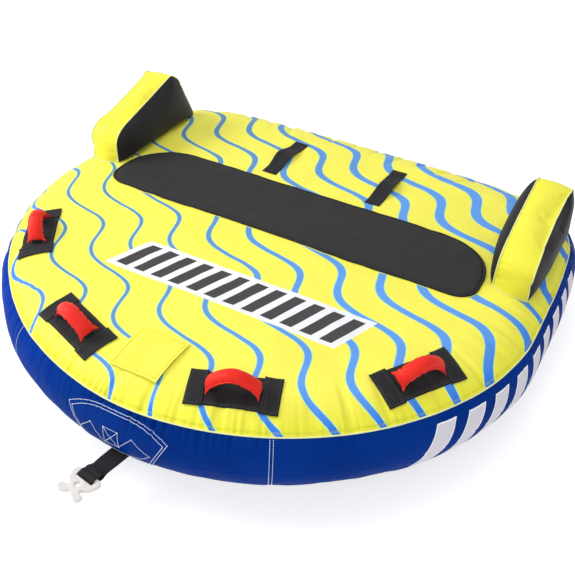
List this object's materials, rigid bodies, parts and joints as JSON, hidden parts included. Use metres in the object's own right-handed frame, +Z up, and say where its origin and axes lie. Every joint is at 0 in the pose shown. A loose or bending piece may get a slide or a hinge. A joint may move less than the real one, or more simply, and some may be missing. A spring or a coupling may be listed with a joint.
{
  "type": "towable deck tube",
  "caption": "Inflated D-shaped towable water tube with a flat deck, side bolsters, chest pad, padded grips, rear straps, valve flap and front tow strap with connector.",
  "frame": {"origin": "centre of the flat base, on the floor; X = 0 is the mirror plane of the body", "axes": "+Z up, -Y forward towards the tow point, +X to the left of a rider who faces forward"},
  "size_m": [1.654, 1.6851, 0.4719],
  "materials": {
    "yellow_fabric": "coated woven nylon, printed",
    "blue_fabric": "coated woven nylon",
    "black_fabric": "coated woven nylon, matt",
    "pad_foam": "knit-faced closed-cell foam",
    "bladder_vinyl": "smooth calendered vinyl",
    "webbing": "flat woven webbing",
    "red_fabric": "coated woven nylon over foam",
    "valve_plastic": "moulded, matt",
    "white_plastic": "moulded, satin",
    "zipper_plastic": "woven tape and moulded teeth"
  },
  "bodies": {
    "hull": {"deck_cover": "yellow_fabric", "side_wall": "blue_fabric", "base_panel": "black_fabric", "main_bladder": "bladder_vinyl", "bolster_left_band": "yellow_fabric", "bolster_left_inner_panel": "black_fabric", "bolster_left_outer_panel": "black_fabric", "bolster_left_bladder": "bladder_vinyl", "bolster_right_band": "yellow_fabric", "bolster_right_inner_panel": "black_fabric", "bolster_right_outer_panel": "black_fabric", "bolster_right_bladder": "bladder_vinyl", "body_pad": "pad_foam", "body_pad_binding": "black_fabric", "rear_strap_left": "webbing", "rear_strap_right": "webbing", "handle_1_patch": "webbing", "handle_1_left_tab": "webbing", "handle_1_right_tab": "webbing", "handle_2_patch": "webbing", "handle_2_left_tab": "webbing", "handle_2_right_tab": "webbing", "handle_3_patch": "webbing", "handle_3_left_tab": "webbing", "handle_3_right_tab": "webbing", "handle_4_patch": "webbing", "handle_4_left_tab": "webbing", "handle_4_right_tab": "webbing", "valve_body": "valve_plastic", "tow_anchor_webbing": "webbing", "tow_reinforcement_patch": "blue_fabric", "zipper_tape": "zipper_plastic"},
    "handle_1": {"handle_1_webbing": "webbing", "handle_1_sleeve": "red_fabric"},
    "handle_2": {"handle_2_webbing": "webbing", "handle_2_sleeve": "red_fabric"},
    "handle_3": {"handle_3_webbing": "webbing", "handle_3_sleeve": "red_fabric"},
    "handle_4": {"handle_4_webbing": "webbing", "handle_4_sleeve": "red_fabric"},
    "valve_cap": {"valve_cap": "valve_plastic"},
    "valve_flap": {"valve_flap": "yellow_fabric"},
    "tow_strap": {"tow_strap": "webbing"},
    "tow_connector": {"tow_connector": "white_plastic"},
    "zipper_slider": {"zipper_slider": "zipper_plastic"},
    "zipper_pull": {"zipper_pull": "zipper_plastic"}
  },
  "joints": [
    {"name": "handle_1_tilt", "type": "hinge", "parent": "hull", "child": "handle_1", "pos_m": [-0.58836, -0.35224, 0.29621], "axis": [0.549, -0.8358, 0], "range_deg": [-37, 47]},
    {"name": "handle_2_tilt", "type": "hinge", "parent": "hull", "child": "handle_2", "pos_m": [-0.23113, -0.62135, 0.29723], "axis": [0.9391, -0.3437, 0], "range_deg": [-50, 34]},
    {"name": "handle_3_tilt", "type": "hinge", "parent": "hull", "child": "handle_3", "pos_m": [0.23113, -0.62135, 0.29723], "axis": [0.9391, 0.3437, 0], "range_deg": [-42, 42]},
    {"name": "handle_4_tilt", "type": "hinge", "parent": "hull", "child": "handle_4", "pos_m": [0.58836, -0.35224, 0.29621], "axis": [0.549, 0.8358, 0], "range_deg": [-47, 37]},
    {"name": "valve_cap_turn", "type": "hinge", "parent": "hull", "child": "valve_cap", "pos_m": [-0.01, -0.6, 0.297], "axis": [0, 0, 1], "range_deg": [0, 360]},
    {"name": "valve_flap_lift", "type": "hinge", "parent": "hull", "child": "valve_flap", "pos_m": [-0.01, -0.545, 0.30075], "axis": [-1, 0, 0], "range_deg": [0, 150]},
    {"name": "tow_strap_swing", "type": "hinge", "parent": "hull", "child": "tow_strap", "pos_m": [0, -0.783, 0.098], "axis": [-0.9848, 0.1736, 0], "range_deg": [-20, 60]},
    {"name": "tow_connector_swing", "type": "hinge", "parent": "tow_strap", "child": "tow_connector", "pos_m": [-0.01598, -0.8736, 0.098], "axis": [-0.9848, 0.1736, 0], "range_deg": [-40, 60]},
    {"name": "zipper_slide", "type": "slide", "parent": "hull", "child": "zipper_slider", "axis": [-1, 0, 0], "range_m": [0, 0.56]},
    {"name": "zipper_pull_swing", "type": "hinge", "parent": "zipper_slider", "child": "zipper_pull", "pos_m": [0.28, 0.7339, 0.131], "axis": [1, 0, 0], "range_deg": [0, 150]}
  ]
}
